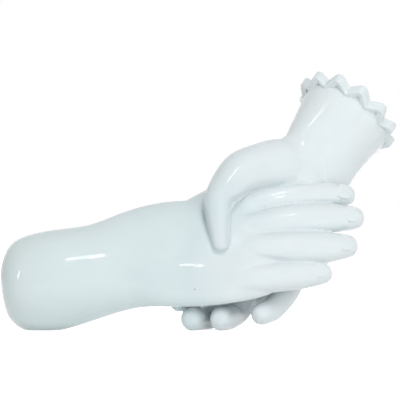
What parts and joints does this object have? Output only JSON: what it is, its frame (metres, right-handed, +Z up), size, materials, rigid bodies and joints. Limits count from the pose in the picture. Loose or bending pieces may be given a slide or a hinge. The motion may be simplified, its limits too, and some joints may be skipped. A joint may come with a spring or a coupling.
{
  "type": "glass handshake sculpture",
  "caption": "Pale opaline glass sculpture of clasped right hands, a plain forearm lying level and a slim hand with a ruffled cuff rising behind it.",
  "frame": {"origin": "middle of the footprint, on the surface that the sculpture rests on", "axes": "+X along the plain forearm toward its fingertips, +Z up, -Y toward the side that shows the back of the plain hand"},
  "size_m": [0.3062, 0.1364, 0.1997],
  "materials": {
    "opaline_glass": "glossy, opaque pale aqua opaline (milk) glass"
  },
  "bodies": {
    "root": {"handshake_sculpture": "opaline_glass"}
  },
  "joints": []
}
